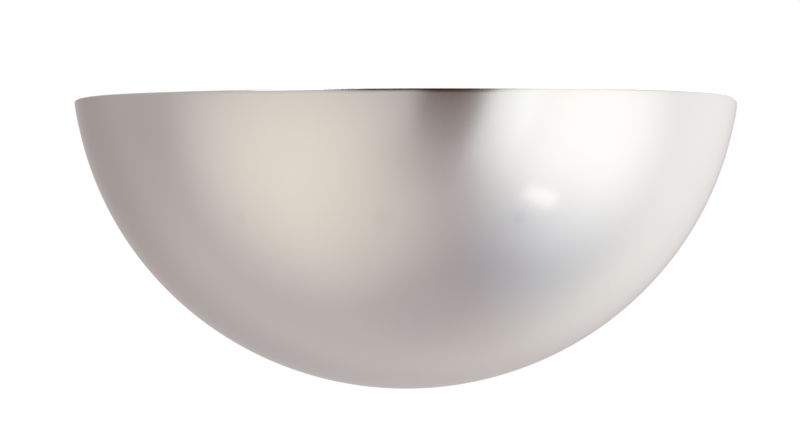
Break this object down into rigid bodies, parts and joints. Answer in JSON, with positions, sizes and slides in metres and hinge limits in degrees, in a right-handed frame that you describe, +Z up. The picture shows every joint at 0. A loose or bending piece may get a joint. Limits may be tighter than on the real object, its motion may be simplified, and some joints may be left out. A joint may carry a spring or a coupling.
{
  "type": "uplighter wall sconce",
  "caption": "Half-bowl uplighter wall light in satin metal: the bowl slides onto studs of a hidden wall strap, is held by knurled nuts and carries a screw-in lamp lying across it.",
  "frame": {"origin": "on the wall plane, at the middle of the wall strap's two fixing slots", "axes": "+X to the right along the wall as seen from the room, +Y into the wall, +Z up"},
  "size_m": [0.3, 0.15, 0.132],
  "materials": {
    "satin_nickel": "satin nickel plate with a thin clear lacquer",
    "inside_white": "matt white paint",
    "zinc_steel": "zinc plated",
    "screw_steel": "bright zinc plated",
    "nickel_nut": "nickel plated, knurled",
    "white_ceramic": "glazed",
    "holder_brass": "plain",
    "cap_metal": "thin rolled sheet",
    "clear_glass": "clear",
    "black_glass": "opaque vitrite",
    "stem_glass": "clear",
    "filament_yellow": "phosphor coated",
    "fine_wire": "plain",
    "white_plastic": "moulded",
    "black_rubber": "matt",
    "brown_sheath": "insulation",
    "blue_sheath": "insulation",
    "earth_sheath": "green with a yellow stripe",
    "copper": "bare copper"
  },
  "bodies": {
    "wall_mount": {"wall_bracket": "zinc_steel", "cable_bush": "black_rubber", "mounting_studs": "screw_steel", "stud_lock_nuts": "screw_steel", "bracket_earth_screw": "holder_brass", "bracket_earth_washer": "holder_brass"},
    "bowl": {"bowl_shell": "satin_nickel", "rear_frame": "zinc_steel", "back_panel": "inside_white", "panel_screws": "screw_steel", "lamp_bracket": "zinc_steel", "lamp_bracket_screws": "screw_steel", "lamp_bracket_nuts": "screw_steel", "lampholder_body": "white_ceramic", "lampholder_screw_shell": "holder_brass", "lampholder_centre_contact": "holder_brass", "lampholder_terminals": "holder_brass", "lampholder_terminal_screws": "screw_steel", "lampholder_fixing_screws": "screw_steel", "terminal_block_body": "white_plastic", "terminal_block_tubes": "holder_brass", "terminal_block_screws": "screw_steel", "terminal_block_fixings": "screw_steel", "wire_grommet": "black_rubber", "earth_screw": "holder_brass", "earth_washer": "holder_brass", "earth_nut": "holder_brass", "earth_tag": "fine_wire", "live_wire": "brown_sheath", "neutral_wire": "blue_sheath", "earth_wire": "earth_sheath", "bare_conductor_ends": "copper"},
    "washer_left": {"nut_washer_left": "screw_steel"},
    "nut_left": {"thumb_nut_left": "nickel_nut"},
    "washer_right": {"nut_washer_right": "screw_steel"},
    "nut_right": {"thumb_nut_right": "nickel_nut"},
    "lamp_seat": {"lamp_contact": "holder_brass"},
    "lamp": {"lamp_insulator": "black_glass", "lamp_cap": "cap_metal", "lamp_glass": "clear_glass", "lamp_stem": "stem_glass", "lamp_filaments": "filament_yellow", "lamp_support_wires": "fine_wire"}
  },
  "joints": [
    {"name": "bowl_pull", "type": "slide", "parent": "wall_mount", "child": "bowl", "axis": [0, -1, 0], "range_m": [0, 0.05]},
    {"name": "washer_left_travel", "type": "slide", "parent": "bowl", "child": "washer_left", "axis": [0, -1, 0], "range_m": [0, 0.0127]},
    {"name": "nut_left_turn", "type": "hinge", "parent": "washer_left", "child": "nut_left", "pos_m": [-0.097, -0.026, 0], "axis": [0, -1, 0], "range_deg": [0, 6480]},
    {"name": "washer_right_travel", "type": "slide", "parent": "bowl", "child": "washer_right", "axis": [0, -1, 0], "range_m": [0, 0.0127]},
    {"name": "nut_right_turn", "type": "hinge", "parent": "washer_right", "child": "nut_right", "pos_m": [0.097, -0.026, 0], "axis": [0, -1, 0], "range_deg": [0, 6480]},
    {"name": "lamp_travel", "type": "slide", "parent": "bowl", "child": "lamp_seat", "axis": [1, 0, 0], "range_m": [0, 0.0128]},
    {"name": "lamp_turn", "type": "hinge", "parent": "lamp_seat", "child": "lamp", "pos_m": [-0.062, -0.062, 0], "axis": [1, 0, 0], "range_deg": [0, 1260]}
  ],
  "couplings": [
    {"joint": "washer_left_travel", "follows": "nut_left_turn", "m_per_rad": 0.00011141},
    {"joint": "washer_right_travel", "follows": "nut_right_turn", "m_per_rad": 0.00011141},
    {"joint": "lamp_travel", "follows": "lamp_turn", "m_per_rad": 0.00057757}
  ]
}
